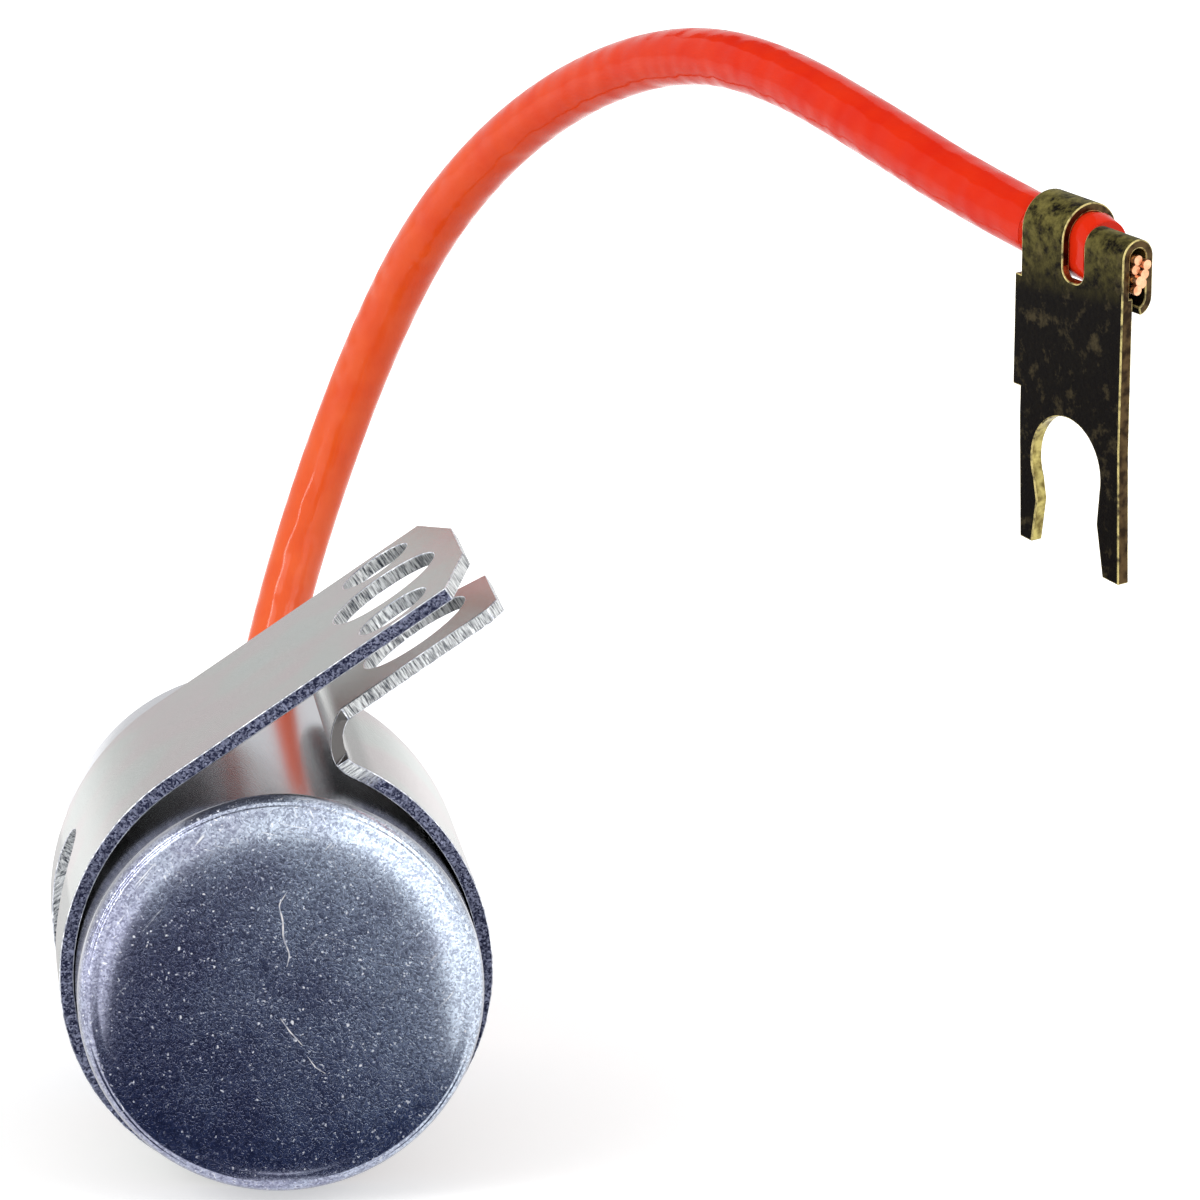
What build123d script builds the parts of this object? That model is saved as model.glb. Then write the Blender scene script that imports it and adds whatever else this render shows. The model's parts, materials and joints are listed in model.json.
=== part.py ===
from build123d import *

import os
from math import acos, cos, degrees, pi, radians, sin, sqrt, tan

# An ignition condenser: a rolled steel can in a folded clamp strap, with one insulated lead that ends
# in a flag fork terminal. Millimetres, +Z up. The origin is the middle of the strap's screw hole, and
# the can lies along +Y, with its closed end towards -Y.

# ---------------------------------------------------------------------------- can
can_radius = 9.15
can_length = 30.1
can_wall = 0.4
can_corner_radius = 0.85  # drawn corner of the closed end
lip_curl_radius = 0.9  # rolled edge of the open end
lip_opening_radius = 7.0

# ---------------------------------------------------------------------------- clamp strap
strap_sheet = 0.65
strap_width = 16.4
strap_setback = 4.5  # from the can's closed end to the strap's near edge
strap_clearance = 0.05  # between the can and the strap
ear_angle = 33.9  # both ears rise this steeply, in degrees
ear_lift = 0.55  # the long ear's inner face stands this far off the can
ear_gap = 1.88  # between the two ears, drawn together by the screw
right_flare = 0.84  # how far the right flank's centre of bend is moved out
bend_radius = 0.8  # inside of the reverse bend under the short ear

screw_hole_diameter = 5.6
hole_reach = 13.64  # along the ears, from the foot of the can's axis
side_hole_diameter = 3.6
side_hole_wall = 0.65  # from each side hole to the strap's edge
long_ear_wall = 1.26  # from the screw hole to the long ear's tip
long_ear_taper = 1.4  # length of the bevelled corners
long_ear_tip_near = 3.8  # from the screw hole's centre to the ends of the tip
long_ear_tip_far = 2.9
short_ear_wall = 1.36  # from the screw hole to the short ear's tip
tongue_near_wall = 2.2  # from the screw hole to the tongue's edges
tongue_far_wall = 1.8
tongue_corner = 0.6
tongue_slant_reach = 4.5  # the far corner is cut off along this length
tongue_slant_depth = 2.8
flank_hole_diameter = 7.0
flank_hole_angle = 172.0  # round the can from +X, in degrees
flank_hole_shift = 1.5  # from the middle of the strap's width, away from the closed end
cut_margin = 0.4  # how far a cutting tool stands out of the sheet

# ---------------------------------------------------------------------------- inside the can
fit_clearance = 0.05
liner_wall = 0.45
core_radius = 1.6
core_wall = 0.4
contact_thickness = 0.3
spring_height = 1.2
spring_sheet = 0.3
spring_radius = 6.0
spring_bore_radius = 2.2
lead_plate_radius = 5.0
lead_plate_thickness = 0.4
disc_thickness = 2.4
disc_bore_radius = 2.6
seal_thickness = 1.4
seal_collar_radius = 3.0
seal_collar_height = 0.5
solder_radius = 1.9
solder_top_radius = 1.1
solder_height = 0.9

# ---------------------------------------------------------------------------- lead and terminal
lead_diameter = 2.7
tube_clearance = 0.05  # between the lead and the seal
arc_share = 0.45  # how much of the shorter run each bend of the lead takes
strand_diameter = 0.45
strand_gap = 0.01
strand_count = 7
strand_stagger = 0.14  # neighbouring strands are cut this much longer
strand_overhang = 0.1  # past the crimp

brass_sheet = 0.6
fork_width = 6.8
fork_left_reach = 5.5  # from the shoulder line down to the leg tips
fork_right_reach = 5.95
slot_radius = 2.35
slot_centre_x = 3.25
slot_centre_drop = 1.6
mouth_width = 4.1
mouth_drop = 3.55
mouth_flare = 0.5  # each leg's inner edge opens this much towards its tip
leg_lean = 0.22  # both legs lean this far to the right at their tips
wing_width = 0.5  # stub left by the carrier strip
wing_bottom = 1.4
wing_top = 6.5
terminal_turn = 59.7  # the terminal's blank runs this far round from +X towards -Y, in degrees
terminal_dip = 7.0  # and falls this steeply
terminal_tilt = 5.0  # and its face leans back this much

blank_top = 6.95  # upper edge of the flat part, where the crimp tabs begin
crimp_wall = 0.4  # the tabs are pressed thinner than the sheet
crimp_clearance = 0.02
crimp_gap = 1.45  # between the two tabs
insulation_crimp_start = -0.1
insulation_crimp_width = 2.8
insulation_crimp_height = 8.62  # the middle of the fold above the shoulder line
insulation_crimp_drop = 0.85  # the crimp is taller than it is deep by this much
insulation_crimp_curl = 70.0
conductor_crimp_height = 8.72
conductor_crimp_drop = 1.8
conductor_crimp_curl = 75.0
neck_length = 0.4  # where the round lead becomes oval, in front of its crimp
lead_entry_rise = 0.1  # the lead comes in above and in front of its crimp's middle
lead_entry_forward = 0.04
insulation_overhang = 0.7  # the insulation is cut this far past its crimp, where it flares again
insulation_flare = 0.12

# The lead's route, from inside the can to the terminal: right, away from the can, and up, each
# measured from the centre of the can's open end. The ends of the runs are joined by arcs.
lead_points = [
    (0.0, -3.1, 0.0),
    (0.0, 3.7, 0.0),
    (0.8, 10.2, 3.0),
    (2.3, 14.6, 8.5),
    (4.6, 16.1, 15.5),
    (7.3, 14.2, 23.2),
    (10.0, 10.6, 29.5),
    (13.5, 5.5, 34.6),
    (17.3, -0.6, 38.1),
    (21.0, -7.5, 39.9),
    (24.2, -14.2, 39.6),
    (27.5, -21.3, 37.9),
    (31.0, -28.5, 35.8),
    (33.5, -33.0, 34.7),
]

# ---------------------------------------------------------------------------- places that follow
ear_tilt = radians(ear_angle)
ear_out = Vector(cos(ear_tilt), 0, sin(ear_tilt))
ear_up = Vector(-sin(ear_tilt), 0, cos(ear_tilt))

strap_inner_radius = can_radius + strap_clearance
long_ear_inner = strap_inner_radius + ear_lift
long_ear_outer = long_ear_inner + strap_sheet
short_ear_upper = long_ear_inner - ear_gap
short_ear_lower = short_ear_upper - strap_sheet
screw_middle = (long_ear_outer + short_ear_lower) / 2

along_can = Vector(0, 1, 0)
strap_middle = ear_out * -hole_reach - ear_up * screw_middle
strap_near = strap_middle - along_can * (strap_width / 2)
can_end = strap_near - along_can * strap_setback
open_end = can_end + along_can * can_length

can_bore = can_radius - can_wall
inner_corner = can_corner_radius - can_wall
inner_lip = lip_curl_radius - can_wall

screw_hole_radius = screw_hole_diameter / 2
long_ear_reach = hole_reach + screw_hole_radius + long_ear_wall
short_ear_reach = hole_reach + screw_hole_radius + short_ear_wall
tongue_near_side = screw_hole_radius + tongue_near_wall
tongue_far_side = screw_hole_radius + tongue_far_wall
side_hole_pitch = (strap_width - side_hole_diameter) / 2 - side_hole_wall

can_section = Plane(origin=can_end, x_dir=(1, 0, 0), z_dir=(0, 0, 1))
can_axis = Axis(can_end, along_can)
strap_section = Plane(origin=strap_near, x_dir=(1, 0, 0), z_dir=(0, -1, 0))
ear_plane = Plane(origin=strap_middle, x_dir=ear_out, z_dir=ear_up)

os.makedirs("parts", exist_ok=True)


def save(piece, name):
    """Label a finished piece and write it as one STEP file."""
    piece.part.label = name
    export_step(piece.part, f"parts/{name}.step")


def turned(*outline):
    """Revolve an outline of (radius, distance from the closed end) points about the can's axis."""
    with BuildSketch(can_section) as section:
        with BuildLine():
            Polyline(*outline, close=True)
        make_face()
    revolve(section.sketch, axis=can_axis)


def washer(outer, inner, start, thickness):
    """A flat ring round the can's axis."""
    turned((inner, start), (outer, start), (outer, start + thickness), (inner, start + thickness))


# ---------------------------------------------------------------------------- can shell
# Deep drawn: a flat end, a straight wall, and a lip rolled inwards over the seal. Its corners are round
# outside and bevelled inside.
with BuildPart() as can_shell:
    with BuildSketch(can_section):
        with BuildLine():
            outside = FilletPolyline(
                (0, 0),
                (can_radius, 0),
                (can_radius, can_length),
                (lip_opening_radius, can_length),
                radius=[can_corner_radius, lip_curl_radius],
            )
            inside = Polyline(
                (0, can_wall),
                (can_bore - inner_corner, can_wall),
                (can_bore, can_wall + inner_corner),
                (can_bore, can_length - can_wall - inner_lip),
                (can_bore - inner_lip, can_length - can_wall),
                (lip_opening_radius, can_length - can_wall),
            )
            Line(outside @ 0, inside @ 0)
            Line(outside @ 1, inside @ 1)
        make_face()
    revolve(axis=can_axis)
save(can_shell, "can_shell")


# ---------------------------------------------------------------------------- mounting strap
# One strip of sheet. It is drawn as the inner face and the outer face of one line of bends: the long
# ear, the left flank, half a turn under the can, the right flank, the reverse bend and the short ear.
left_flare = ear_lift / (1 - sin(ear_tilt))
ear_tangent_angle = 90 + ear_angle
left_centre = (left_flare, 0)
right_centre = (-right_flare, 0)

bend_up = short_ear_lower - bend_radius
right_outer_radius = strap_inner_radius + right_flare + strap_sheet
bend_side_up = bend_up - ear_up.X * right_centre[0]
bend_out = ear_out.X * right_centre[0] + sqrt((right_outer_radius + bend_radius) ** 2 - bend_side_up**2)
bend_centre = ear_out * bend_out + ear_up * bend_up
bend_start_angle = degrees(acos((bend_centre.X + right_flare) / (right_outer_radius + bend_radius)))
bend_turn = 180 + bend_start_angle - ear_tangent_angle


def on_ear(reach, height):
    """A point of the strap's section, along an ear and above the can's axis."""
    place = ear_out * reach + ear_up * height
    return (place.X, place.Z)


def strap_face(thickness):
    """The strap's line of bends, a given thickness outside its inner face."""
    long_ear_arc = CenterArc(
        left_centre,
        strap_inner_radius + left_flare + thickness,
        ear_tangent_angle,
        180 - ear_tangent_angle,
    )
    CenterArc((0, 0), strap_inner_radius + thickness, 180, 180)
    CenterArc(right_centre, strap_inner_radius + right_flare + thickness, 0, bend_start_angle)
    short_ear_arc = CenterArc(
        (bend_centre.X, bend_centre.Z),
        bend_radius + strap_sheet - thickness,
        180 + bend_start_angle,
        -bend_turn,
    )
    long_ear_tip = on_ear(long_ear_reach, long_ear_inner + thickness)
    short_ear_tip = on_ear(short_ear_reach, short_ear_upper - thickness)
    Line(long_ear_tip, long_ear_arc @ 0)
    Line(short_ear_arc @ 1, short_ear_tip)
    return long_ear_tip, short_ear_tip


with BuildPart() as mounting_strap:
    with BuildSketch(strap_section):
        with BuildLine():
            inner_tips = strap_face(0)
            outer_tips = strap_face(strap_sheet)
            Line(inner_tips[0], outer_tips[0])
            Line(inner_tips[1], outer_tips[1])
        make_face()
    extrude(amount=-strap_width)

    # The long ear's corners are bevelled, and it has three holes in a row.
    half_width = strap_width / 2
    with BuildSketch(ear_plane.offset(long_ear_inner - cut_margin)):
        for edge, tip in ((-half_width, -long_ear_tip_near), (half_width, long_ear_tip_far)):
            with BuildLine():
                Polyline(
                    (long_ear_reach - long_ear_taper, edge),
                    (long_ear_reach, tip),
                    (long_ear_reach, edge),
                    close=True,
                )
            make_face()
        with Locations((hole_reach, side_hole_pitch), (hole_reach, -side_hole_pitch)):
            Circle(side_hole_diameter / 2)
    extrude(amount=strap_sheet + 2 * cut_margin, mode=Mode.SUBTRACT)

    # The short ear is a tongue. What lies outside its outline is trimmed off, from the bend's outermost
    # line on.
    tongue_root = bend_out - bend_radius - strap_sheet
    trim_length = short_ear_reach + cut_margin - tongue_root
    trim_height = short_ear_upper + cut_margin - bend_up
    with BuildSketch(ear_plane.offset(short_ear_upper + cut_margin)):
        with Locations((tongue_root, 0)):
            Rectangle(trim_length, strap_width + 2 * cut_margin, align=(Align.MIN, Align.CENTER))
        with BuildLine():
            Polyline(
                (tongue_root, -half_width),
                (bend_out, -tongue_near_side),
                (short_ear_reach - tongue_corner, -tongue_near_side),
                (short_ear_reach, tongue_corner - tongue_near_side),
                (short_ear_reach, tongue_far_side - tongue_slant_depth),
                (short_ear_reach - tongue_slant_reach, tongue_far_side),
                (bend_out, tongue_far_side),
                (tongue_root, half_width),
                close=True,
            )
        make_face(mode=Mode.SUBTRACT)
    extrude(amount=-trim_height, mode=Mode.SUBTRACT)

    # One screw passes both ears.
    with BuildSketch(ear_plane.offset(short_ear_lower - cut_margin)):
        with Locations((hole_reach, 0)):
            Circle(screw_hole_radius)
    extrude(amount=long_ear_outer - short_ear_lower + 2 * cut_margin, mode=Mode.SUBTRACT)

    # A round hole in the left flank shows the can.
    flank_tilt = radians(flank_hole_angle)
    flank_plane = Plane(
        origin=strap_middle + along_can * flank_hole_shift,
        x_dir=along_can,
        z_dir=(cos(flank_tilt), 0, sin(flank_tilt)),
    )
    with BuildSketch(flank_plane.offset(strap_inner_radius - 2 * cut_margin)):
        Circle(flank_hole_diameter / 2)
    extrude(amount=strap_sheet + 4 * cut_margin, mode=Mode.SUBTRACT)
save(mounting_strap, "mounting_strap")


# ---------------------------------------------------------------------------- the stack in the can
# From the closed end: spring, ground contact, winding, lead contact, lead plate, disc, seal, lip.
floor = can_wall
ground_contact_start = floor + spring_height
winding_start = ground_contact_start + contact_thickness
seal_start = can_length - can_wall - seal_thickness
disc_start = seal_start - disc_thickness
lead_plate_start = disc_start - lead_plate_thickness
lead_contact_start = lead_plate_start - contact_thickness
liner_radius = can_bore - fit_clearance
liner_start = can_corner_radius + fit_clearance
winding_radius = liner_radius - liner_wall - fit_clearance

# A dished spring presses the winding against the lid and earths it to the can.
with BuildPart() as ground_spring:
    turned(
        (spring_radius, floor),
        (spring_radius, floor + spring_sheet),
        (spring_bore_radius, ground_contact_start),
        (spring_bore_radius, ground_contact_start - spring_sheet),
    )
save(ground_spring, "ground_spring")

# Sprayed metal joins the edges of each foil at one end of the roll.
with BuildPart() as ground_contact:
    washer(winding_radius, core_radius, ground_contact_start, contact_thickness)
save(ground_contact, "ground_contact")

with BuildPart() as foil_winding:
    washer(winding_radius, core_radius, winding_start, lead_contact_start - winding_start)
save(foil_winding, "foil_winding")

with BuildPart() as winding_core:
    washer(core_radius, core_radius - core_wall, winding_start, lead_contact_start - winding_start)
save(winding_core, "winding_core")

with BuildPart() as lead_contact:
    washer(winding_radius, core_radius, lead_contact_start, contact_thickness)
save(lead_contact, "lead_contact")

# A paper liner keeps the roll off the can's wall.
with BuildPart() as insulating_liner:
    washer(liner_radius, liner_radius - liner_wall, liner_start, disc_start - liner_start)
save(insulating_liner, "insulating_liner")

# The bare end of the lead stands in the plate's hole and is soldered there.
bundle_radius = 1.5 * strand_diameter
with BuildPart() as lead_plate:
    washer(lead_plate_radius, bundle_radius, lead_plate_start, lead_plate_thickness)
save(lead_plate, "lead_plate")

with BuildPart() as solder_joint:
    turned(
        (bundle_radius, disc_start),
        (solder_radius, disc_start),
        (solder_top_radius, disc_start + solder_height),
        (bundle_radius, disc_start + solder_height),
    )
save(solder_joint, "solder_joint")

tail_length = can_length + lead_points[0][1] - lead_plate_start
with BuildPart() as lead_tail:
    with BuildSketch(Plane(origin=can_end + along_can * lead_plate_start, z_dir=along_can)):
        Circle(bundle_radius)
    extrude(amount=tail_length)
save(lead_tail, "lead_tail")

# A hard-paper disc closes the can, and a rubber seal lies under the rolled lip.
with BuildPart() as insulating_disc:
    washer(liner_radius, disc_bore_radius, disc_start, disc_thickness)
save(insulating_disc, "insulating_disc")

seal_top = seal_start + seal_thickness
collar_top = can_length + seal_collar_height
seal_bore = lead_diameter / 2 + tube_clearance
with BuildPart() as rubber_seal:
    turned(
        (seal_bore, seal_start),
        (liner_radius, seal_start),
        (liner_radius, seal_top - inner_lip),
        (liner_radius - inner_lip, seal_top),
        (seal_collar_radius, seal_top),
        (seal_collar_radius, collar_top),
        (seal_bore, collar_top),
    )
save(rubber_seal, "rubber_seal")


# ---------------------------------------------------------------------------- lead
# Straight runs joined by arcs. Each arc takes the same share of the shorter of its two runs.
route = [open_end + Vector(*point) for point in lead_points]
runs = [after - before for before, after in zip(route, route[1:])]
lead_radii = []
for before, after in zip(runs, runs[1:]):
    turn = radians(before.get_angle(after))
    lead_radii.append(arc_share * min(before.length, after.length) / tan(turn / 2))

with BuildPart() as lead_insulation:
    with BuildLine() as lead_path:
        FilletPolyline(*route, radius=lead_radii)
    with BuildSketch(Plane(origin=route[0], z_dir=runs[0])):
        Circle(lead_diameter / 2)
    sweep(path=lead_path.wires()[0])
save(lead_insulation, "lead_insulation")

lead_length = lead_path.wires()[0].length
lead_share = lead_insulation.part.volume / (pi * lead_diameter**2 / 4 * lead_length)
print("lead bend radii:", " ".join(f"{radius:.1f}" for radius in lead_radii))
print("lead length:", round(lead_length, 2))
print("lead volume / (section x length):", round(lead_share, 4))


# ---------------------------------------------------------------------------- fork terminal
# One piece of brass sheet. Its x runs along its blank, its y up from the shoulder line of the fork, and
# its z out of the front face. The lead lies behind the sheet, squeezed oval by the first crimp.
squeezed_edge = sqrt(insulation_crimp_drop**2 + (pi * lead_diameter / 2) ** 2)
squeezed_radius = (squeezed_edge - insulation_crimp_drop) / pi  # keeps the lead's area
squeezed_height = insulation_crimp_height - insulation_crimp_drop / 2
lead_crimp_radius = squeezed_radius + crimp_clearance
lead_crimp_depth = lead_crimp_radius + crimp_wall

strand_row_depth = strand_diameter * cos(pi / 6)  # between the two rows of packed strands
strand_crimp_radius = (strand_diameter + strand_row_depth) / 2 + crimp_clearance
conductor_crimp_start = insulation_crimp_start + insulation_crimp_width + crimp_gap
conductor_crimp_width = fork_width - conductor_crimp_start

blank_turn = radians(terminal_turn)
blank_dip = radians(terminal_dip)
level_heading = Vector(cos(blank_turn), -sin(blank_turn), 0)
heading = level_heading * cos(blank_dip) - Vector(0, 0, sin(blank_dip))
level_front = heading.cross(Vector(0, 0, 1))
front = level_front.rotate(Axis((0, 0, 0), heading), terminal_tilt)
lead_end = route[-1]
entry_plane = Plane(origin=lead_end, x_dir=heading, z_dir=front)
entry = Vector(
    insulation_crimp_start - neck_length,
    squeezed_height + lead_entry_rise,
    lead_entry_forward - lead_crimp_depth,
)
terminal_corner = entry_plane.from_local_coords(entry * -1)
terminal_plane = Plane(origin=terminal_corner, x_dir=heading, z_dir=front)
crimp_plane = Plane(origin=terminal_corner, x_dir=terminal_plane.y_dir, z_dir=heading)


def crimp_tab(start, width, inner_radius, height, drop, curl):
    """A tab of the blank that rises, folds back over the lead, comes down and curls in beneath it."""
    outer_radius = inner_radius + crimp_wall
    top_centre = (height, -outer_radius)
    low_centre = (height - drop, -outer_radius)
    with BuildSketch(crimp_plane.offset(start)) as section:
        with BuildLine():
            outer_fold = CenterArc(top_centre, outer_radius, 90, -180)
            inner_fold = CenterArc(top_centre, inner_radius, 90, -180)
            outer_curl = CenterArc(low_centre, outer_radius, -90, -curl)
            inner_curl = CenterArc(low_centre, inner_radius, -90, -curl)
            Line((blank_top, 0), outer_fold @ 0)
            Line((blank_top, -crimp_wall), inner_fold @ 0)
            Line((blank_top, 0), (blank_top, -crimp_wall))
            Line(outer_fold @ 1, outer_curl @ 0)
            Line(inner_fold @ 1, inner_curl @ 0)
            Line(outer_curl @ 1, inner_curl @ 1)
        make_face()
    extrude(section.sketch, amount=width)


with BuildPart() as fork_terminal:
    with BuildSketch(terminal_plane):
        with BuildLine():
            Polyline(
                (0, 0),
                (leg_lean, -fork_left_reach),
                (fork_width + leg_lean, -fork_right_reach),
                (fork_width, 0),
                (fork_width, blank_top),
                (insulation_crimp_start, blank_top),
                (insulation_crimp_start, wing_top),
                (-wing_width, wing_top),
                (-wing_width, wing_bottom),
                (0, wing_bottom),
                close=True,
            )
        make_face()
        with Locations((slot_centre_x, -slot_centre_drop)):
            Circle(slot_radius, mode=Mode.SUBTRACT)
        half_mouth = mouth_width / 2
        mouth_end = -fork_right_reach - cut_margin
        mouth_x = slot_centre_x + leg_lean * mouth_drop / fork_right_reach
        mouth_end_x = slot_centre_x + leg_lean
        with BuildLine():
            Polyline(
                (slot_centre_x - slot_radius, -slot_centre_drop),
                (mouth_x - half_mouth, -mouth_drop),
                (mouth_end_x - half_mouth - mouth_flare, mouth_end),
                (mouth_end_x + half_mouth + mouth_flare, mouth_end),
                (mouth_x + half_mouth, -mouth_drop),
                (slot_centre_x + slot_radius, -slot_centre_drop),
                close=True,
            )
        make_face(mode=Mode.SUBTRACT)
    extrude(amount=-brass_sheet)

    # The gap between the tabs has a rounded foot.
    gap_corner = 0.4 * crimp_gap
    gap_middle = conductor_crimp_start - crimp_gap / 2
    with BuildSketch(terminal_plane):
        with Locations((gap_middle, blank_top)):
            Rectangle(crimp_gap, gap_corner, align=(Align.CENTER, Align.MIN))
        with Locations((gap_middle, blank_top + gap_corner)):
            SlotOverall(crimp_gap, 2 * gap_corner, mode=Mode.SUBTRACT)
    extrude(amount=-crimp_wall)

    crimp_tab(
        insulation_crimp_start,
        insulation_crimp_width,
        lead_crimp_radius,
        insulation_crimp_height,
        insulation_crimp_drop,
        insulation_crimp_curl,
    )
    crimp_tab(
        conductor_crimp_start,
        conductor_crimp_width,
        strand_crimp_radius,
        conductor_crimp_height,
        conductor_crimp_drop,
        conductor_crimp_curl,
    )
save(fork_terminal, "fork_terminal")

# The lead's end turns from round to oval in front of its crimp, and flares a little behind it.
insulation_crimp_end = insulation_crimp_start + insulation_crimp_width
insulation_end = insulation_crimp_end + insulation_overhang


def oval_section(along_blank, radius):
    """The squeezed lead's section, a given way along the blank."""
    with BuildSketch(crimp_plane.offset(along_blank)) as section:
        with Locations((squeezed_height, -lead_crimp_depth)):
            SlotCenterToCenter(insulation_crimp_drop, 2 * radius)
    return section.sketch


with BuildPart() as lead_crimped_end:
    with BuildSketch(Plane(origin=lead_end, z_dir=runs[-1])) as round_section:
        Circle(lead_diameter / 2)
    entering = oval_section(insulation_crimp_start, squeezed_radius)
    leaving = oval_section(insulation_crimp_end, squeezed_radius)
    cut_end = oval_section(insulation_end, squeezed_radius + insulation_flare)
    loft([round_section.sketch, entering])
    extrude(entering, amount=insulation_crimp_width)
    loft([leaving, cut_end])
save(lead_crimped_end, "lead_crimped_end")


# ---------------------------------------------------------------------------- copper strands
# They lie packed in two rows, front and back by turns, from the cut insulation through their crimp.
strand_length = fork_width + strand_overhang - insulation_end
strand_front = -crimp_wall - crimp_clearance - strand_diameter / 2
for number in range(1, strand_count + 1):
    height = conductor_crimp_height - strand_diameter / 2 * (number - 1)
    depth = strand_front - strand_row_depth * ((number - 1) % 2)
    with BuildPart() as strand:
        with BuildSketch(crimp_plane.offset(insulation_end)):
            with Locations((height, depth)):
                Circle((strand_diameter - strand_gap) / 2)
        extrude(amount=strand_length + strand_stagger * (number % 3))
    save(strand, f"strand_{number}")

slot_middle = terminal_plane.from_local_coords(Vector(slot_centre_x, -slot_centre_drop, -brass_sheet / 2))
print("closed end of the can:", can_end)
print("screw hole: axis", ear_up, "length", round(long_ear_outer - short_ear_lower, 3))
print("fork slot: middle", slot_middle, "axis", terminal_plane.z_dir)
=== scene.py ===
# %% [markdown]
# # An ignition condenser
# A drawn steel can sits in a folded clamp strap. One orange lead leaves its far end, bends up behind
# the strap's ears, and comes forward to a brass fork. The solid model gives every size and place. This
# lesson loads it, sets up a small studio, and dresses each piece with a worked-out surface or finish.

# %% Load the solid model
import json
from math import cos, pi, radians, sin

import bmesh
import bpy
import numpy as np
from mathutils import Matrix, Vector


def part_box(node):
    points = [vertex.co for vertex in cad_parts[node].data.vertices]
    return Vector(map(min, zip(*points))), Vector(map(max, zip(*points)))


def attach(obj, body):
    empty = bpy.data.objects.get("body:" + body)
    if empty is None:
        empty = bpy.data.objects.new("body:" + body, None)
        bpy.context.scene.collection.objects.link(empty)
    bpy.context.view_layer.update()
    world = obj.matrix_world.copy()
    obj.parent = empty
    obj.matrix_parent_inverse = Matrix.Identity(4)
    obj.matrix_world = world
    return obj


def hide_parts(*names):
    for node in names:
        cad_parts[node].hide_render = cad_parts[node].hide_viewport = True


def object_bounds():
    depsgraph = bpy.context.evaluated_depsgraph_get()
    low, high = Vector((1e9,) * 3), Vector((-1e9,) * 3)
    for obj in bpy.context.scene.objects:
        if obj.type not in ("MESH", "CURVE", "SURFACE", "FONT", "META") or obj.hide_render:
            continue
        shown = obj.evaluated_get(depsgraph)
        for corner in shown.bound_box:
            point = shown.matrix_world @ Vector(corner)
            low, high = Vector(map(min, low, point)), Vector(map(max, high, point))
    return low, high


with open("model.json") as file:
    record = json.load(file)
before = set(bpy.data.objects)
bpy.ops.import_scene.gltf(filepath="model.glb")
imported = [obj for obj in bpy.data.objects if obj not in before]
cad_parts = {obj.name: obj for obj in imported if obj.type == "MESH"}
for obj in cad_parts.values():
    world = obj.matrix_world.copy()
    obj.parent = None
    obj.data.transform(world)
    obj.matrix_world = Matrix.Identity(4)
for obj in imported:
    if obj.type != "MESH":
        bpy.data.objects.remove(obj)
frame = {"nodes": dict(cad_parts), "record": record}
cad_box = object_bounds()
MM = 0.001
mounts = {mount["name"]: mount for mount in frame["record"]["mounts"]}
can_end = np.array(mounts["can_end"]["pos_m"])
can_low, can_high = (np.array(corner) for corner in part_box("can_shell"))
can_radius = (can_high[0] - can_low[0]) / 2
can_length = can_high[1] - can_low[1]
open_end = can_end + [0, can_length, 0]
print("can radius and length, mm:", round(can_radius / MM, 2), round(can_length / MM, 2))

# %% [markdown]
# ## The camera
# The viewer looks at the can's flat end from a little above and a little to the left, from about
# thirty centimetres. A long lens at that distance keeps the can's far end nearly as large as the near
# one. The aim is a point between the can and the fork, measured from the middle of the flat end.

# %% Place the camera
aim_from_can_end = np.array([14.684, 4.0, 17.127]) * MM
camera_distance = 314.58 * MM
camera_azimuth = radians(-5.806)
camera_elevation = radians(10.576)
camera_lens = 209.44  # millimetres, on the usual 36 mm sensor

aim = Vector(can_end + aim_from_can_end)
from_aim = Vector((
    sin(camera_azimuth) * cos(camera_elevation),
    -cos(camera_azimuth) * cos(camera_elevation),
    sin(camera_elevation),
))
camera_data = bpy.data.cameras.new("camera")
camera_data.lens = camera_lens
camera = bpy.data.objects.new("camera", camera_data)
camera.location = aim + from_aim * camera_distance
camera.rotation_euler = (-from_aim).to_track_quat("-Z", "Y").to_euler()
bpy.context.scene.collection.objects.link(camera)
bpy.context.scene.camera = camera
print("camera at", tuple(round(value, 4) for value in camera.location))

# %% [markdown]
# ## The lead
# A lead is a fixed length of something springy, so it is drawn as one smooth curve with a round
# section. The points are the ones that the solid lead was made from, measured from the middle of the
# can's open end. The curve passes near them and through none but the first and last.

# %% Draw the lead
lead_diameter = 2.7 * MM
lead_points = [
    (0.0, -3.1, 0.0),
    (0.0, 3.7, 0.0),
    (0.8, 10.2, 3.0),
    (2.3, 14.6, 8.5),
    (4.6, 16.1, 15.5),
    (7.3, 14.2, 23.2),
    (10.0, 10.6, 29.5),
    (13.5, 5.5, 34.6),
    (17.3, -0.6, 38.1),
    (21.0, -7.5, 39.9),
    (24.2, -14.2, 39.6),
    (27.5, -21.3, 37.9),
    (31.0, -28.5, 35.8),
    (33.5, -33.0, 34.7),
]
lead_route = open_end + np.array(lead_points) * MM

lead_curve = bpy.data.curves.new("lead", "CURVE")
lead_curve.dimensions = "3D"
spline = lead_curve.splines.new("NURBS")
spline.points.add(len(lead_route) - 1)
spline.points.foreach_set("co", np.column_stack([lead_route, np.ones(len(lead_route))]).ravel())
spline.points.foreach_set("radius", np.full(len(lead_route), lead_diameter / 2))
spline.order_u = 3
spline.use_endpoint_u = True
spline.resolution_u = 16
lead_curve.bevel_depth = 1.0  # multiplied by each point's own radius
lead_curve.bevel_resolution = 12
lead_curve.use_fill_caps = True
lead = bpy.data.objects.new("lead", lead_curve)
bpy.context.scene.collection.objects.link(lead)
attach(lead, "root")
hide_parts("lead_insulation")
print("lead: points", len(lead_route))

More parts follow.
